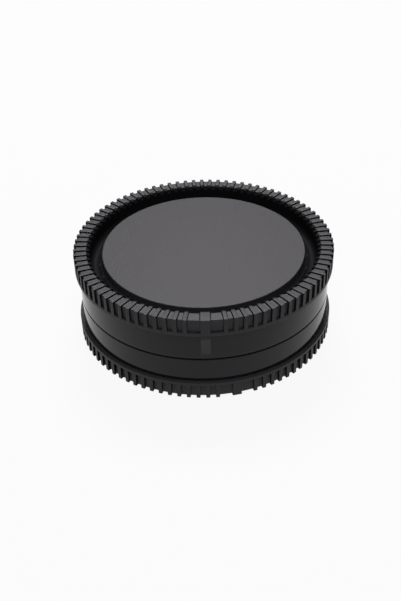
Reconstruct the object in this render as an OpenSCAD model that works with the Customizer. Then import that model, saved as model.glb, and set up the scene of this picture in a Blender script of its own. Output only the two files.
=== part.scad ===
// A pair of moulded bayonet caps, locked face to face: a camera body cap on top
// of its mating rear lens cap. Millimetres, +Z up, origin on the axis, on the floor.

/* [Rim, the same on both caps] */
// Diameter over the lip and the grip ribs
rim_d = 62; // [61:0.5:70]
// Height of the rim, from the underside of the lip to the ribs' outer ends
rim_h = 4.3; // [3.5:0.1:5.4]
// Height of the lip, the plain band that closes the gaps between the ribs
lip_h = 0.8; // [0.5:0.1:1.5]
// Equal steps round the rim, one for each rib but for those beside the index rib
rib_steps = 88; // [60:1:96]
// Width of a grip rib
rib_w = 0.9; // [0.8:0.01:1.3]
// How far a rib stands out from the rim's side
rib_depth = 0.5; // [0.3:0.05:1]
// How far a rib stands up from the rim's outer face
rib_stand = 0.2; // [0.1:0.02:0.5]
// How far the ribs are set back from the lip's edge and from the groove's wall
rib_inset = 0.05; // [0.02:0.01:0.1]
// Width of the index rib
index_w = 2.1; // [1.4:0.1:3]
// Steps between the index rib and the first grip rib on each side
index_clear = 2; // [2:1:4]
// Width of the chamfer between the ribs where the rim's outer face falls into the groove
rim_chamfer = 0.35; // [0.15:0.05:0.4]

/* [Face and groove] */
// Diameter of the plain raised face
face_d = 48.6; // [46.5:0.1:50]
// Depth of the face below the ribs' outer ends
face_drop = 1.6; // [1:0.1:2.2]
// Width of the groove between the face and the rim
groove_w = 2.9; // [2.5:0.1:4.2]
// Depth of the groove's floor below the ribs' outer ends
groove_depth = 4.4; // [3.5:0.1:4.8]
// How much wider the raised face's side is at its foot than at its edge
groove_draft = 0.35; // [0.1:0.05:0.6]
// Radius of the two corners of the groove's floor
groove_fillet = 0.9; // [0.3:0.1:1.2]

/* [Skirts] */
// Diameter of the plain skirts
skirt_d = 60.2; // [58:0.1:60.5]
// Height of the body cap's skirt
body_skirt_h = 7; // [6.7:0.1:12]
// Height of the rear cap's skirt
rear_skirt_h = 6.1; // [5.8:0.1:12]
// Gap between the two skirts where the caps meet
seam_gap = 0.2; // [0.05:0.01:0.3]
// Distance below the rim's outer ends at which the body cap's index bar starts to taper
bar_len = 5.2; // [5:0.1:6.5]
// Distance below the rim's outer ends at which the index bar has sunk into the skirt
wedge_len = 9.8; // [8:0.1:10.5]

/* [Walls] */
// Thickness of the face and of the groove's floor
plate_t = 1.5; // [1:0.1:1.8]
// Thickness of the skirts and of the raised face's side
wall_t = 1.5; // [1:0.1:1.8]
// Thickness of the seat ring inside each skirt
seat_t = 1.5; // [1:0.1:2]
// Number of webs between the seat ring and the skirt
web_count = 12; // [6:1:24]
// Thickness of a web
web_t = 1; // [0.8:0.1:1.5]
// How far the webs stay below the seam
web_drop = 0.8; // [0.4:0.1:1.5]

/* [Bayonet] */
// Outer diameter of the body cap's collar
collar_d = 43.5; // [42:0.1:44]
// Thickness of the collar's wall
collar_t = 1.8; // [1.2:0.1:2.4]
// How far the collar's end reaches past its lugs
collar_lead = 0.4; // [0.2:0.1:0.6]
// How far a lug stands out from the collar
lug_reach = 1.85; // [1.5:0.05:2]
// Thickness of a lug, along the axis
lug_t = 1.3; // [1:0.1:1.5]
// Angle that a lug covers
lug_angle = 50; // [40:1:52]
// Thickness of a tab of the rear cap, along the axis
tab_t = 1.5; // [1:0.1:1.6]
// Angle that a tab covers
tab_angle = 64; // [60:1:66]
// Angle that a stop post covers
post_angle = 3.4; // [2:0.1:3.8]
// Angle left between a lug and its stop post when the caps are locked
post_gap = 0.6; // [0.3:0.1:1]
// Radial clearance between the collar or lugs and the rear cap
radial_fit = 0.3; // [0.15:0.05:0.4]
// Axial clearance between a locked lug and its tab
axial_fit = 0.1; // [0.05:0.01:0.2]

/* [Directions] */
// Direction that the body cap's index rib faces
body_index_angle = -90; // [-180:1:180]
// How far the rear cap's index rib is turned from the body cap's when they are locked
rear_index_lead = 12.8; // [-30:0.1:30]

/* [Edges] */
// Width of the chamfer on the moulded edges
edge = 0.15; // [0.05:0.01:0.2]
// Width of the chamfer on the ribs' outer corners
rib_edge = 0.25; // [0.1:0.01:0.3]

/* [Hidden] */
$fn = 180;

// How far a joined form bites into the form that carries it, and a cut runs past its wall
bite = 0.3;
// Straight steps in each corner of the groove's floor
fillet_steps = 6;
lug_count = 3;

body_h = body_skirt_h + rim_h;
rear_h = rear_skirt_h + rim_h;
seam_z = rear_h + seam_gap;
rib_pitch = 360 / rib_steps;

rim_r = rim_d / 2;
rib_r = rim_r - rib_inset;
root_r = rim_r - rib_depth;
face_r = face_d / 2;
face_foot_r = face_r + groove_draft;
rim_in_r = face_r + groove_w;
skirt_r = skirt_d / 2;

collar_r = collar_d / 2;
lug_r = collar_r + lug_reach;
tab_r = collar_r + radial_fit;
seat_in_r = lug_r + radial_fit;
seat_out_r = seat_in_r + seat_t;
// Depths below the body cap's seam edge of a lug's two faces and of the collar's end
lug_top = seam_gap + tab_t + axial_fit;
lug_end = lug_top + lug_t;
collar_end = lug_end + collar_lead;

// Points along an arc in the section plane, from angle a0 to a1
function arc(centre, r, a0, a1, steps) =
    [for (i = [0 : steps]) let (a = a0 + (a1 - a0) * i / steps) centre + r * [cos(a), sin(a)]];

// Half section of a cap's outside, from the seam at 0 to its face: skirt, lip, rim, groove, face
function outside_section(h) =
    let (lip_z = h - rim_h, rim_z = h - rib_stand, face_z = h - face_drop)
    let (floor_z = h - groove_depth + groove_fillet)
    concat(
        [[0, 0], [skirt_r - edge, 0], [skirt_r, edge], [skirt_r, lip_z]],
        [[rim_r - edge, lip_z], [rim_r, lip_z + edge]],
        [[rim_r, lip_z + lip_h - edge], [rim_r - edge, lip_z + lip_h]],
        [[root_r, lip_z + lip_h], [root_r, rim_z - edge], [root_r - edge, rim_z]],
        [[rim_in_r + rim_chamfer, rim_z], [rim_in_r, rim_z - rim_chamfer]],
        arc([rim_in_r - groove_fillet, floor_z], groove_fillet, 0, -90, fillet_steps),
        arc([face_foot_r + groove_fillet, floor_z], groove_fillet, -90, -180, fillet_steps),
        [[face_r, face_z - edge], [face_r - edge, face_z], [0, face_z]]
    );

// Half section of a cap's hollow: the space behind the groove, and behind the raised face
function hollow_section(h) =
    let (pocket_z = h - groove_depth - plate_t, roof_z = h - face_drop - plate_t)
    [
        [0, -bite], [skirt_r - wall_t, -bite], [skirt_r - wall_t, pocket_z],
        [face_r - wall_t, pocket_z], [face_r - wall_t, roof_z], [0, roof_z]
    ];

// Section of a grip rib, which wraps from the rim's outer face down its side to the lip
function rib_section(h) =
    let (in_r = rim_in_r + rib_inset, foot_z = h - rim_h + lip_h - bite)
    let (under_z = h - rib_stand - rim_chamfer - bite)
    [
        [in_r, under_z], [in_r, h - edge], [in_r + edge, h], [rib_r - rib_edge, h],
        [rib_r, h - rib_edge], [rib_r, foot_z], [root_r - bite, foot_z], [root_r - bite, under_z]
    ];

// Section of the index bar, which runs on past the lip and sinks into the skirt as a wedge
function bar_section(h) =
    let (lip_z = h - rim_h + bite, in_r = skirt_r - bite)
    [
        [in_r, h - wedge_len], [skirt_r, h - wedge_len], [rib_r, h - bar_len],
        [rib_r, lip_z], [in_r, lip_z]
    ];

// A flat bar of one section, centred across the direction +X
module bar(section, width) {
    rotate([90, 0, 0]) linear_extrude(width, center = true) polygon(section);
}

// A block between two radii and two heights that covers an angle centred on +X
module sector(in_r, out_r, z0, z1, angle) {
    rotate([0, 0, -angle / 2]) rotate_extrude(angle = angle)
        translate([in_r, z0]) square([out_r - in_r, z1 - z0]);
}

module tube(in_r, out_r, z0, z1) {
    rotate_extrude() translate([in_r, z0]) square([out_r - in_r, z1 - z0]);
}

// The knurled rim: grip ribs at equal steps, and one wide index rib between two plain stretches
module rim_ribs(h) {
    for (i = [index_clear : rib_steps - index_clear])
        rotate([0, 0, i * rib_pitch]) bar(rib_section(h), rib_w);
    bar(rib_section(h), index_w);
}

// Seat ring inside the skirt, and the webs that hold the two walls round
module seat(h) {
    pocket_z = h - groove_depth - plate_t;
    tube(seat_in_r, seat_out_r, 0, pocket_z + bite);
    for (i = [0 : web_count - 1])
        rotate([0, 0, (i + 0.5) * 360 / web_count])
            translate([seat_out_r - bite, -web_t / 2, web_drop])
                cube([skirt_r - wall_t - seat_out_r + 2 * bite, web_t, pocket_z - web_drop + 2 * bite]);
}

// A cap without its bayonet: seam at 0, outer face up, index rib along +X
module cap_shell(h) {
    difference() {
        union() {
            rotate_extrude() polygon(outside_section(h));
            rim_ribs(h);
        }
        rotate_extrude() polygon(hollow_section(h));
    }
    seat(h);
}

// Collar of the body cap, with three lugs near its end; it reaches past the seam, below 0
module bayonet_male(h) {
    in_r = collar_r - collar_t;
    roof_z = h - face_drop - plate_t + bite;
    rotate_extrude() polygon([
        [in_r, -collar_end], [collar_r - edge, -collar_end], [collar_r, edge - collar_end],
        [collar_r, roof_z], [in_r, roof_z]
    ]);
    for (i = [0 : lug_count - 1])
        rotate([0, 0, i * 360 / lug_count])
            sector(collar_r - bite, lug_r, -lug_end, -lug_top, lug_angle);
}

// Three tabs of the rear cap, at the mouth of its seat ring, each with a stop post behind it
module bayonet_female() {
    post_centre = -lug_angle / 2 - post_gap - post_angle / 2;
    post_end = lug_end - seam_gap + axial_fit;
    for (i = [0 : lug_count - 1])
        rotate([0, 0, i * 360 / lug_count]) {
            sector(tab_r, seat_in_r + bite, 0, tab_t, tab_angle);
            rotate([0, 0, post_centre])
                sector(tab_r + edge, seat_in_r + bite, tab_t - bite, post_end, post_angle);
        }
}

module body_cap() {
    color([0.11, 0.11, 0.115])
        translate([0, 0, seam_z]) rotate([0, 0, body_index_angle]) {
            cap_shell(body_h);
            bar(bar_section(body_h), index_w);
            bayonet_male(body_h);
        }
}

module rear_cap() {
    color([0.09, 0.09, 0.095])
        translate([0, 0, rear_h]) mirror([0, 0, 1]) {
            rotate([0, 0, body_index_angle + rear_index_lead]) cap_shell(rear_h);
            rotate([0, 0, body_index_angle]) bayonet_female();
        }
}

body_cap();
rear_cap();
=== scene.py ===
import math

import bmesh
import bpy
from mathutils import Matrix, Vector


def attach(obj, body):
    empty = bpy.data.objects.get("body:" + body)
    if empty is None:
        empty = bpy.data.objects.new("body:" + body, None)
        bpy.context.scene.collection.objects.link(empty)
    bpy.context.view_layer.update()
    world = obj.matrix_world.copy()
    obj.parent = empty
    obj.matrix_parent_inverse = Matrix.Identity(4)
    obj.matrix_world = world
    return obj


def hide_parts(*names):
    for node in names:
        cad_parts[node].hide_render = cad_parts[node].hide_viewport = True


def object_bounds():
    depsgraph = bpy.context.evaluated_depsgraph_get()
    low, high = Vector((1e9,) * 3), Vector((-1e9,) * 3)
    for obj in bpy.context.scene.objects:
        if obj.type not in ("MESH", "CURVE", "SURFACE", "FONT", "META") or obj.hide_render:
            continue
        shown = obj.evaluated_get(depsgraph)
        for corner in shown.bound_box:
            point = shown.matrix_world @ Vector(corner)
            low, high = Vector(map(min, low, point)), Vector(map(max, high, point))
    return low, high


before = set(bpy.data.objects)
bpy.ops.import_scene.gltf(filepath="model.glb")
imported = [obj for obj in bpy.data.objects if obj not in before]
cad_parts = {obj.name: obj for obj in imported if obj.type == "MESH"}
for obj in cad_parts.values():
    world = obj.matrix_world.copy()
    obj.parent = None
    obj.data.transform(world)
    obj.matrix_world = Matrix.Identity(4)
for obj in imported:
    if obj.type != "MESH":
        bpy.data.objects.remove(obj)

# %% [markdown]
# # A pair of camera caps, locked face to face
# The photograph shows two black moulded covers: a camera body cap on top, and under it,
# upside down, the rear lens cap that it locks on. Each has a knurled rim that the fingers
# grip, a plain raised face inside a deep groove, and a smooth skirt that hides a bayonet.
# The CAD model gives every size. This file gives the same two caps their real edges and
# their real finish, and keeps them in the CAD model's frame.

cad_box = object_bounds()
print("CAD box in mm:", [[round(1000 * v, 2) for v in corner] for corner in cad_box])

# %% [markdown]
# ## The camera
# The photograph was taken from a little above, close to the caps, which is why the far side
# of the rim looks so much narrower than the near side. The lens and the place come from
# fitting a pinhole camera to the rings of the caps. The camera looks down at 32 degrees, and
# aims below its own horizon line by a little more, so the caps sit above the middle.

# %% The camera
CAMERA_PIXELS = 866.36
CAMERA_DISTANCE = 0.20755
CAMERA_ELEVATION = 0.56562
CAMERA_PAN = -0.00603
CAMERA_TILT = -0.06773
CAMERA_ROLL = -0.02847
FRAME_LONG_SIDE = 601
SENSOR = 36

rim_top = cad_box[1].z
eye = Vector((0, -math.cos(CAMERA_ELEVATION), math.sin(CAMERA_ELEVATION))) * CAMERA_DISTANCE
eye.z += rim_top
pitch_down = CAMERA_TILT - CAMERA_ELEVATION
aim = Vector((math.sin(CAMERA_PAN) * math.cos(pitch_down),
              math.cos(CAMERA_PAN) * math.cos(pitch_down), math.sin(pitch_down)))
level_right = aim.cross(Vector((0, 0, 1))).normalized()
level_up = level_right.cross(aim)
right = level_right * math.cos(CAMERA_ROLL) + level_up * math.sin(CAMERA_ROLL)
up = level_up * math.cos(CAMERA_ROLL) - level_right * math.sin(CAMERA_ROLL)

camera = bpy.data.objects.new("camera", bpy.data.cameras.new("camera"))
camera.data.lens = CAMERA_PIXELS * SENSOR / FRAME_LONG_SIDE
camera.data.sensor_width = SENSOR
camera.data.clip_start, camera.data.clip_end = 0.01, 10
turn = Matrix((right, up, -aim)).transposed()
camera.matrix_world = Matrix.Translation(eye) @ turn.to_4x4()
bpy.context.scene.collection.objects.link(camera)
bpy.context.scene.camera = camera
print(f"camera {camera.data.lens:.2f} mm lens at {[round(1000 * v, 1) for v in eye]} mm")

# %% [markdown]
# ## The sizes
# All of them repeat the part's CAD source, in millimetres. Each cap is built with its seam
# edge at 0 and its face up, and only at the very end is it scaled to metres, turned and
# moved to its place.

# %% The sizes
RIM_R, RIM_H, LIP_H = 31, 4.3, 0.8
RIB_STEPS, RIB_DEPTH, RIB_STAND = 88, 0.52, 0.32
RIB_W, RIB_FOOT_W, INDEX_W = 0.86, 1.02, 2.1
RIM_CHAMFER, SHOULDER_W, SHOULDER_DROP = 0.75, 0.8, 0.35
FACE_R, FACE_DROP = 24.3, 1.6
GROOVE_W, GROOVE_DEPTH, GROOVE_DRAFT, GROOVE_FILLET = 2.9, 4.4, 0.35, 0.9
SKIRT_R, BODY_SKIRT_H, REAR_SKIRT_H, SEAM_GAP = 30.1, 7.0, 6.1, 0.2
BAR_LEN, WEDGE_LEN = 5.2, 9.8
PLATE_T, WALL_T, SEAT_T = 1.5, 1.5, 1.5
WEB_COUNT, WEB_T, WEB_DROP = 12, 1.0, 0.8
COLLAR_R, COLLAR_T, COLLAR_LEAD = 21.75, 1.8, 0.4
LUG_REACH, LUG_T, LUG_ANGLE = 1.85, 1.3, 50
TAB_T, TAB_ANGLE, POST_ANGLE, POST_GAP = 1.5, 64, 3.4, 0.6
RADIAL_FIT, AXIAL_FIT, BITE, EDGE = 0.3, 0.1, 0.3, 0.15
BODY_INDEX, REAR_INDEX_LEAD = -90, 12.8

ROOT_R = RIM_R - RIB_DEPTH
RIM_IN_R = FACE_R + GROOVE_W
SEAT_IN_R = COLLAR_R + LUG_REACH + RADIAL_FIT
SEAT_OUT_R = SEAT_IN_R + SEAT_T
LUG_TOP = SEAM_GAP + TAB_T + AXIAL_FIT
LUG_END = LUG_TOP + LUG_T
COLLAR_END = LUG_END + COLLAR_LEAD
BODY_H = BODY_SKIRT_H + RIM_H
REAR_H = REAR_SKIRT_H + RIM_H
SEAM_Z = REAR_H + SEAM_GAP
print(f"caps {BODY_H:.1f} and {REAR_H:.1f} mm high, {SEAM_Z + BODY_H:.1f} mm together")

# %% [markdown]
# ## Turning a cap from its section
# A cap is a round moulding, so its skin is one closed half section spun about the axis. The
# spin takes two steps for each rib of the rim: one that becomes the rib, and one that stays
# the gap beside it. The section is drawn as the gaps see it, and the ribs are raised from it
# afterwards, which leaves the whole cap one single skin.

# %% A cap's skin
STEPS = 2 * RIB_STEPS
STEP_ANGLE = 2 * math.pi / STEPS
TINY = 0.0005


def cap_section(h, with_collar):
    """Half section from the middle of the outer face round the outside and back inside."""
    lip_z, rim_z, floor_z = h - RIM_H, h - RIB_STAND, h - GROOVE_DEPTH
    pocket_z, roof_z = floor_z - PLATE_T, h - FACE_DROP - PLATE_T
    points = [
        (0, h - FACE_DROP), (FACE_R, h - FACE_DROP), (FACE_R + GROOVE_DRAFT, floor_z),
        (RIM_IN_R, floor_z), (RIM_IN_R, rim_z - RIM_CHAMFER), (RIM_IN_R + RIM_CHAMFER, rim_z),
        (ROOT_R, rim_z), (ROOT_R, lip_z + LIP_H), (RIM_R, lip_z + LIP_H), (RIM_R, lip_z),
        (SKIRT_R, lip_z),
    ]
    if with_collar:
        points += [(SKIRT_R, h - BAR_LEN), (SKIRT_R, h - WEDGE_LEN)]
    points += [
        (SKIRT_R, 0), (SKIRT_R - WALL_T, 0), (SKIRT_R - WALL_T, pocket_z),
        (SEAT_OUT_R, pocket_z), (SEAT_OUT_R, 0), (SEAT_IN_R, 0), (SEAT_IN_R, pocket_z),
        (FACE_R - WALL_T, pocket_z), (FACE_R - WALL_T, roof_z),
    ]
    if with_collar:
        points += [(COLLAR_R, roof_z), (COLLAR_R, -COLLAR_END),
                   (COLLAR_R - COLLAR_T, -COLLAR_END), (COLLAR_R - COLLAR_T, roof_z)]
    return points + [(0, roof_z)]


def spin_skin(points):
    """The section spun all the way round, with the middle of a rib step on +X."""
    bm = bmesh.new()
    corners = [bm.verts.new((r, 0, z)) for r, z in points]
    edges = [bm.edges.new(pair) for pair in zip(corners, corners[1:])]
    bmesh.ops.rotate(bm, verts=corners, matrix=Matrix.Rotation(-STEP_ANGLE / 2, 3, "Z"))
    bmesh.ops.spin(bm, geom=corners + edges, axis=(0, 0, 1), angle=2 * math.pi,
                   steps=STEPS, use_merge=True)
    bmesh.ops.remove_doubles(bm, verts=bm.verts, dist=TINY)
    bmesh.ops.recalc_face_normals(bm, faces=bm.faces)
    return bm


def step_of(face):
    """Which step of the spin a face belongs to, counted from the index rib."""
    middle = face.calc_center_median()
    return round(math.atan2(middle.y, middle.x) / STEP_ANGLE) % STEPS


# %% [markdown]
# ## Raising the ribs
# The ribs wrap over the rim like the teeth of a coin's edge: they start at the groove, run
# out over the top and go down the side, where they end flush with the lip. Extruding the
# faces of each rib step as one region makes their side walls. Each ring of corners then goes
# out to the rib's own radius and height, and the ends merge with the skin again.

# %% Ribs and index bar
INDEX_CLEAR = 2
RIB_STEPS_USED = [2 * k for k in range(INDEX_CLEAR, RIB_STEPS - INDEX_CLEAR + 1)]
RING_FIT = 0.02


def widen_steps(bm, steps, foot_z, width, foot_width):
    """Turns the corners beside these steps until they stand half a width from the middle."""
    for side in (-1, 1):
        columns = {(2 * step + side) % (2 * STEPS) for step in steps}
        rings = {}
        for v in bm.verts:
            column = round(2 * math.atan2(v.co.y, v.co.x) / STEP_ANGLE) % (2 * STEPS)
            if v.co.xy.length > FACE_R + 1 and column in columns:
                ring_width = width if v.co.z > foot_z + TINY else foot_width
                rings.setdefault((round(v.co.xy.length, 2), ring_width), []).append(v)
        for (r, ring_width), ring in rings.items():
            angle = math.asin(ring_width / 2 / r) - STEP_ANGLE / 2
            bmesh.ops.rotate(bm, verts=ring, matrix=Matrix.Rotation(side * angle, 3, "Z"))


def raise_steps(bm, faces, moves):
    """Extrudes faces as one region and takes each ring of their corners to its new place."""
    made = bmesh.ops.extrude_face_region(bm, geom=faces)["geom"]
    bmesh.ops.delete(bm, geom=faces, context="FACES")
    corners = [part for part in made if isinstance(part, bmesh.types.BMVert)]
    rings = [[v for v in corners
              if abs(v.co.xy.length - old[0]) < RING_FIT and abs(v.co.z - old[1]) < RING_FIT]
             for old, new in moves]
    for ring, (old, new) in zip(rings, moves):
        wider = new[0] / old[0]
        bmesh.ops.scale(bm, verts=ring, vec=(wider, wider, 1))
        bmesh.ops.translate(bm, verts=ring, vec=(0, 0, new[1] - old[1]))
    bmesh.ops.remove_doubles(bm, verts=bm.verts, dist=TINY)


def raise_ribs(bm, h):
    """Grip ribs and the index rib, from the groove over the rim and down to the lip."""
    lip_top, rim_z = h - RIM_H + LIP_H, h - RIB_STAND
    widen_steps(bm, RIB_STEPS_USED, lip_top, RIB_W, RIB_FOOT_W)
    widen_steps(bm, [0], lip_top, INDEX_W, INDEX_W)
    faces = [f for f in bm.faces if step_of(f) in RIB_STEPS_USED + [0]
             and f.calc_center_median().xy.length > RIM_IN_R + RIM_CHAMFER / 4
             and f.calc_center_median().z > lip_top - TINY]
    raise_steps(bm, faces, [
        ((RIM_IN_R, rim_z - RIM_CHAMFER), (RIM_IN_R, h - SHOULDER_DROP)),
        ((RIM_IN_R + RIM_CHAMFER, rim_z), (RIM_IN_R + SHOULDER_W, h)), ((ROOT_R, rim_z), (RIM_R, h)),
        ((ROOT_R, lip_top), (RIM_R, lip_top)),
    ])


def raise_bar(bm, h):
    """The body cap's index bar, which runs on below the lip and sinks into the skirt."""
    lip_z = h - RIM_H
    faces = [f for f in bm.faces if step_of(f) == 0 and SKIRT_R - 0.1 < f.calc_center_median().xy.length
             and h - WEDGE_LEN < f.calc_center_median().z < lip_z + TINY]
    raise_steps(bm, faces, [
        ((SKIRT_R, h - BAR_LEN), (RIM_R, h - BAR_LEN)), ((SKIRT_R, lip_z), (RIM_R, lip_z)),
    ])


# %% [markdown]
# ## Inside: the bayonet
# Nobody sees it while the caps are locked, but the part opens. The body cap carries a collar
# with three lugs, the rear cap three tabs with a stop post behind each. They are short
# sectors of a ring, so a rectangle is spun through their own angle and seated in its wall.

# %% Sectors and webs
SECTOR_STEPS = 16


def add_sector(bm, radii, heights, angle, middle):
    """A closed block between two radii and two heights that covers an angle."""
    corners = [bm.verts.new((r, 0, z)) for r, z in (
        (radii[0], heights[0]), (radii[1], heights[0]), (radii[1], heights[1]), (radii[0], heights[1]))]
    start = bm.faces.new(corners)
    turn_back = Matrix.Rotation(math.radians(middle - angle / 2), 3, "Z")
    bmesh.ops.rotate(bm, verts=corners, matrix=turn_back)
    made = bmesh.ops.spin(bm, geom=corners + list(start.edges) + [start], axis=(0, 0, 1),
                          angle=math.radians(angle), steps=SECTOR_STEPS)
    last = {v for part in made["geom_last"] if isinstance(part, bmesh.types.BMFace) for v in part.verts}
    block = linked_faces(start)
    bmesh.ops.recalc_face_normals(bm, faces=block)
    return block


def linked_faces(start):
    """Every face that joins a face through its edges."""
    found, todo = {start}, [start]
    while todo:
        for edge in todo.pop().edges:
            for face in edge.link_faces:
                if face not in found:
                    found.add(face)
                    todo.append(face)
    return list(found)


def add_webs(bm, h):
    """The thin webs that hold the seat ring and the skirt round."""
    top = h - GROOVE_DEPTH - PLATE_T + BITE
    inner, outer = SEAT_OUT_R - BITE, SKIRT_R - WALL_T + BITE
    for k in range(WEB_COUNT):
        web = bmesh.ops.create_cube(bm, size=1)["verts"]
        bmesh.ops.scale(bm, verts=web, vec=(outer - inner, WEB_T, top - WEB_DROP))
        bmesh.ops.translate(bm, verts=web, vec=((inner + outer) / 2, 0, (top + WEB_DROP) / 2))
        bmesh.ops.rotate(bm, verts=web, matrix=Matrix.Rotation(2 * math.pi * (k + 0.5) / WEB_COUNT, 3, "Z"))


def add_lugs(bm):
    for k in range(3):
        add_sector(bm, (COLLAR_R - BITE, COLLAR_R + LUG_REACH), (-LUG_END, -LUG_TOP), LUG_ANGLE, 120 * k)


def add_tabs(bm):
    mouth_r, seat_r = COLLAR_R + RADIAL_FIT, SEAT_IN_R + BITE
    post = LUG_ANGLE / 2 + POST_GAP + POST_ANGLE / 2
    for k in range(3):
        middle = REAR_INDEX_LEAD - 120 * k
        add_sector(bm, (mouth_r, seat_r), (0, TAB_T), TAB_ANGLE, middle)
        add_sector(bm, (mouth_r + EDGE, seat_r), (TAB_T - BITE, LUG_END - SEAM_GAP + AXIAL_FIT),
                   POST_ANGLE, middle + post)


# %% [markdown]
# ## Moulded edges
# No edge of a moulding is perfectly sharp. A rounding of a tenth or two of a millimetre is
# hardly a pixel wide, and yet it is what draws the thin bright lines on the ribs and the lip.
# The bevel operator rounds every convex edge, and the two corners of the groove's floor get
# the large radius that they have on the real cap.

# %% Roundings
ROUND_ANGLE = math.radians(32)
SEAM_EDGE, FACE_EDGE = 0.25, 0.2
RIB_EDGE = 0.07
RIB_FOOT_ROUND = 0.16
GROOVE_ROUND = 1.2
SHARP_ANGLE = math.radians(40)


def round_edges(bm, edges, width, segments):
    bmesh.ops.bevel(bm, geom=edges, offset=width, offset_type="OFFSET", segments=segments,
                    profile=0.5, affect="EDGES", material=-1, clamp_overlap=False)


def is_ring(edge, r, z):
    return all(abs(v.co.xy.length - r) < RING_FIT and abs(v.co.z - z) < RING_FIT for v in edge.verts)


def round_cap(bm, h):
    floor_z = h - GROOVE_DEPTH
    corners = [e for e in bm.edges if is_ring(e, FACE_R + GROOVE_DRAFT, floor_z)
               or is_ring(e, RIM_IN_R, floor_z)]
    round_edges(bm, corners, GROOVE_ROUND, 5)
    rim_z = h - RIB_STAND
    feet = [e for e in bm.edges if all(abs(v.co.z - rim_z) < TINY for v in e.verts)
            and abs(e.verts[0].co.xy.length - e.verts[1].co.xy.length) > 1]
    round_edges(bm, feet, RIB_FOOT_ROUND, 2)
    wedge = [e for e in bm.edges if e.is_convex and e.calc_face_angle(0) > ROUND_ANGLE
             and max(v.co.z for v in e.verts) < h - BAR_LEN + TINY
             and min(v.co.z for v in e.verts) > TINY and min(v.co.xy.length for v in e.verts) > SKIRT_R - TINY]
    face_edge = [e for e in bm.edges if is_ring(e, FACE_R, h - FACE_DROP)]
    round_edges(bm, face_edge, FACE_EDGE, 3)
    seam = [e for e in bm.edges if is_ring(e, SKIRT_R, 0)]
    round_edges(bm, seam, SEAM_EDGE, 3)
    skip = set(wedge)
    convex = [e for e in bm.edges if e not in skip and e.is_convex and e.calc_face_angle(0) > ROUND_ANGLE]
    round_edges(bm, convex, RIB_EDGE, 2)


# %% [markdown]
# ## Finishes, painted shade and a painted reflection
# The mould was spark-eroded where the fingers and the eye meet the cap, on the face, the ribs
# and the lip, and polished on the skirt and in the groove. In the groove, though, and on the
# side walls of the ribs, the mesh gets a darker colour with almost no gloss, which is painted
# shade in these recesses. The index wedge gets a lighter colour, a painted reflection of the
# pale floor. Each face of the mesh gets its finish or its painted light by where it lies.

# %% Which faces are matt
MATT, POLISHED, PAINTED_SHADE, WEDGE_REFLECTION = 0, 1, 2, 3


def share_finishes_and_painted_light(bm, h):
    for face in bm.faces:
        middle = face.calc_center_median()
        r, depth = middle.xy.length, h - middle.z
        on_face = r < FACE_R + GROOVE_DRAFT and depth < GROOVE_DEPTH - GROOVE_FILLET
        on_rim = r > RIM_IN_R + SHOULDER_W and depth < RIM_H + TINY
        in_groove = r < RIM_IN_R + RIM_CHAMFER and depth < GROOVE_DEPTH + TINY
        on_wedge = SKIRT_R + TINY < r and BAR_LEN < depth < WEDGE_LEN
        if on_face or on_rim:
            face.material_index = MATT
        elif in_groove:
            # painted shade: the groove gets a darker colour with almost no gloss
            face.material_index = PAINTED_SHADE
        elif on_wedge:
            # painted reflection: the wedge gets a lighter colour for the pale floor it reflects
            face.material_index = WEDGE_REFLECTION
        else:
            face.material_index = POLISHED


def paint_shade_on_rib_sides(bm, h):
    """The side walls of the ribs get the darker groove colour, painted shade between the ribs."""
    bm.normal_update()
    for face in bm.faces:
        middle = face.calc_center_median()
        if middle.xy.length < RIM_IN_R:
            continue
        across = abs(face.normal.x * middle.y - face.normal.y * middle.x) / middle.xy.length
        # painted shade: rib side walls take the darker, almost glossless groove colour
        if face.material_index == MATT and across > 0.4 and middle.z > h - RIM_H + LIP_H - TINY:
            face.material_index = PAINTED_SHADE


# %% The caps as meshes
def cap_mesh(name, bm, h, matrix):
    """Finishes a cap's mesh and makes its object, in metres and in its place."""
    share_finishes_and_painted_light(bm, h)
    round_cap(bm, h)
    paint_shade_on_rib_sides(bm, h)
    bmesh.ops.scale(bm, verts=bm.verts, vec=(0.001,) * 3)
    bmesh.ops.transform(bm, verts=bm.verts, matrix=matrix)
    for face in bm.faces:
        face.smooth = True
    for edge in bm.edges:
        edge.smooth = edge.calc_face_angle(0) < SHARP_ANGLE
    loose = sum(1 for e in bm.edges if not e.is_manifold)
    mesh = bpy.data.meshes.new(name)
    bm.to_mesh(mesh)
    bm.free()
    piece = bpy.data.objects.new(name, mesh)
    bpy.context.scene.collection.objects.link(piece)
    mesh.materials.append(matt_abs)
    mesh.materials.append(polished_abs)
    mesh.materials.append(recess_shade_abs)
    mesh.materials.append(wedge_reflection_abs)
    normals = piece.modifiers.new("flat faces stay flat", "WEIGHTED_NORMAL")
    normals.keep_sharp = True
    print(name, len(mesh.polygons), "faces,", loose, "open edges")
    return piece


# %% Helpers for colours and nodes
def linear(hex_colour):
    """An sRGB hex colour as linear red, green, blue and alpha."""
    parts = [int(hex_colour[i:i + 2], 16) / 255 for i in (1, 3, 5)]
    return [c / 12.92 if c <= 0.04045 else ((c + 0.055) / 1.055) ** 2.4 for c in parts] + [1]


def add_node(tree, kind, settings=None, **inputs):
    """Adds a node, sets its properties, and sets or links its inputs by name."""
    node = tree.nodes.new(kind)
    for name, value in (settings or {}).items():
        setattr(node, name, value)
    for name, value in inputs.items():
        socket = node.inputs[name.replace("_", " ")]
        if isinstance(value, bpy.types.NodeSocket):
            tree.links.new(value, socket)
        else:
            socket.default_value = value
    return node


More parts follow.
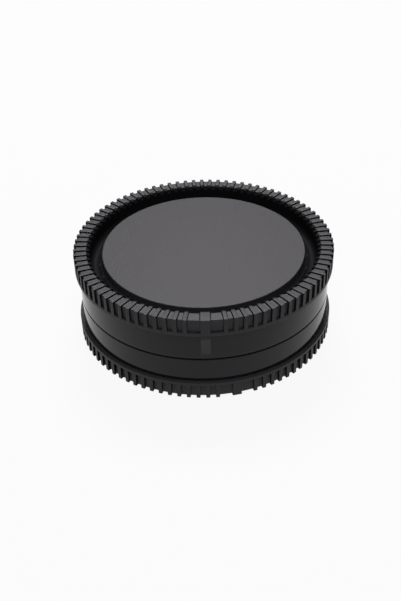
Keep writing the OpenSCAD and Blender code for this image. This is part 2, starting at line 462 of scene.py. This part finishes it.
# %% Moulded ABS
def moulded_abs(name, colour, roughness, grain_mm, grain_depth_mm, specular):
    material = bpy.data.materials.new(name)
    material.use_nodes = True
    tree = material.node_tree
    tree.nodes.clear()
    place = add_node(tree, "ShaderNodeTexCoord").outputs["Object"]
    grain = add_node(tree, "ShaderNodeTexNoise", Vector=place, Scale=1000 / grain_mm, Detail=2.0,
                     Roughness=0.6).outputs["Fac"]
    bump = add_node(tree, "ShaderNodeBump", Height=grain, Distance=grain_depth_mm / 1000,
                    Strength=1.0).outputs["Normal"]
    surface = add_node(tree, "ShaderNodeBsdfPrincipled", Base_Color=linear(colour), Roughness=roughness,
                       IOR=1.54, Specular_IOR_Level=specular, Normal=bump)
    add_node(tree, "ShaderNodeOutputMaterial", Surface=surface.outputs["BSDF"])
    return material


matt_abs = moulded_abs("spark_eroded_moulded_abs", "#262628", 0.48, 0.35, 0.06, 0.19)
polished_abs = moulded_abs("polished_moulded_abs", "#18181a", 0.1, 6.0, 0.01, 0.17)

# Painted shade: a darker colour with almost no gloss for the groove and the side walls of the ribs.
recess_shade_abs = moulded_abs("painted_recess_shade_abs", "#141415", 0.5, 6.0, 0.01, 0.02)
# Painted reflection: a lighter colour on the index wedge for the pale floor that it reflects.
wedge_reflection_abs = moulded_abs("wedge_painted_reflection_abs", "#222224", 0.35, 0.5, 0.04, 0.22)

# %% Build the two caps
body = spin_skin(cap_section(BODY_H, True))
raise_ribs(body, BODY_H)
raise_bar(body, BODY_H)
add_webs(body, BODY_H)
add_lugs(body)
place = Matrix.Translation((0, 0, SEAM_Z / 1000)) @ Matrix.Rotation(math.radians(BODY_INDEX), 4, "Z")
body_cap = cap_mesh("body_cap_moulding", body, BODY_H, place)

rear = spin_skin(cap_section(REAR_H, False))
raise_ribs(rear, REAR_H)
add_webs(rear, REAR_H)
add_tabs(rear)
place = (Matrix.Translation((0, 0, REAR_H / 1000))
         @ Matrix.Rotation(math.radians(BODY_INDEX + REAR_INDEX_LEAD), 4, "Z") @ Matrix.Rotation(math.pi, 4, "X"))
rear_cap = cap_mesh("rear_cap_moulding", rear, REAR_H, place)

for piece, node in ((body_cap, "body_cap"), (rear_cap, "rear_cap")):
    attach(piece, node)
    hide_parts(node)

# %% Floor, world and lamps
floor_bm = bmesh.new()
bmesh.ops.create_grid(floor_bm, x_segments=1, y_segments=1, size=3)
floor_mesh = bpy.data.meshes.new("floor")
floor_bm.to_mesh(floor_mesh)
floor_bm.free()
floor = bpy.data.objects.new("floor", floor_mesh)
bpy.context.scene.collection.objects.link(floor)


FLOOR_WHITE = 0.9


def floor_material():
    """White to the eye and in reflections, with a tenth of the painted floor for the shadow."""
    material = bpy.data.materials.new("white_studio_floor")
    material.use_nodes = True
    tree = material.node_tree
    tree.nodes.clear()
    path = add_node(tree, "ShaderNodeLightPath")
    paint = add_node(tree, "ShaderNodeBsdfDiffuse", Color=linear("#b8b8b8"))
    white = add_node(tree, "ShaderNodeEmission", Color=(1, 1, 1, 1), Strength=1.0)
    seen = add_node(tree, "ShaderNodeMath", {"operation": "MAXIMUM"})
    tree.links.new(path.outputs["Is Camera Ray"], seen.inputs[0])
    tree.links.new(path.outputs["Is Glossy Ray"], seen.inputs[1])
    shown = add_node(tree, "ShaderNodeMath", {"operation": "MAXIMUM"})
    tree.links.new(seen.outputs[0], shown.inputs[0])
    tree.links.new(path.outputs["Is Transmission Ray"], shown.inputs[1])
    share = add_node(tree, "ShaderNodeMath", {"operation": "MULTIPLY"})
    tree.links.new(shown.outputs[0], share.inputs[0])
    share.inputs[1].default_value = FLOOR_WHITE
    mix = add_node(tree, "ShaderNodeMixShader")
    tree.links.new(share.outputs[0], mix.inputs[0])
    tree.links.new(paint.outputs[0], mix.inputs[1])
    tree.links.new(white.outputs[0], mix.inputs[2])
    add_node(tree, "ShaderNodeOutputMaterial", Surface=mix.outputs[0])
    return material


floor_mesh.materials.append(floor_material())

world = bpy.data.worlds.new("studio")
world.use_nodes = True
bpy.context.scene.world = world
tree = world.node_tree
tree.nodes.clear()
path = add_node(tree, "ShaderNodeLightPath")
direction = add_node(tree, "ShaderNodeSeparateXYZ",
                     Vector=add_node(tree, "ShaderNodeTexCoord").outputs["Generated"])
room = add_node(tree, "ShaderNodeMapRange", {"interpolation_type": "SMOOTHSTEP"},
                Value=direction.outputs["Y"], From_Min=-0.4, From_Max=0.9, To_Min=0.04, To_Max=0.35)
seen = add_node(tree, "ShaderNodeMix", {"data_type": "FLOAT"})
tree.links.new(path.outputs["Is Camera Ray"], seen.inputs[0])
tree.links.new(room.outputs["Result"], seen.inputs[2])
seen.inputs[3].default_value = 1.0
sky = add_node(tree, "ShaderNodeBackground", Color=(1, 1, 1, 1), Strength=seen.outputs[0])
add_node(tree, "ShaderNodeOutputWorld", Surface=sky.outputs[0])


LAMP_TINT = (1.0, 0.965, 1.01)


def add_lamp(name, place, target, size, radiance):
    """A soft area lamp, given by the radiance of its face."""
    data = bpy.data.lights.new(name, "AREA")
    data.shape, data.size, data.size_y = "RECTANGLE", size[0], size[1]
    data.energy = radiance * math.pi * size[0] * size[1]
    lamp = bpy.data.objects.new(name, data)
    lamp.location = place
    lamp.rotation_euler = (Vector(target) - Vector(place)).to_track_quat("-Z", "Y").to_euler()
    lamp.visible_camera = False
    data.color = LAMP_TINT
    bpy.context.scene.collection.objects.link(lamp)
    return lamp


add_lamp("back_softbox", (0, 0.48, 0.61), (0, 0, 0.02), (0.3, 0.2), 29)
fill = add_lamp("top_softbox", (0, -0.3, 0.8), (0, 0, 0.02), (0.5, 0.5), 7.5)
fill.visible_glossy = False

bpy.context.scene.view_settings.view_transform = "Standard"
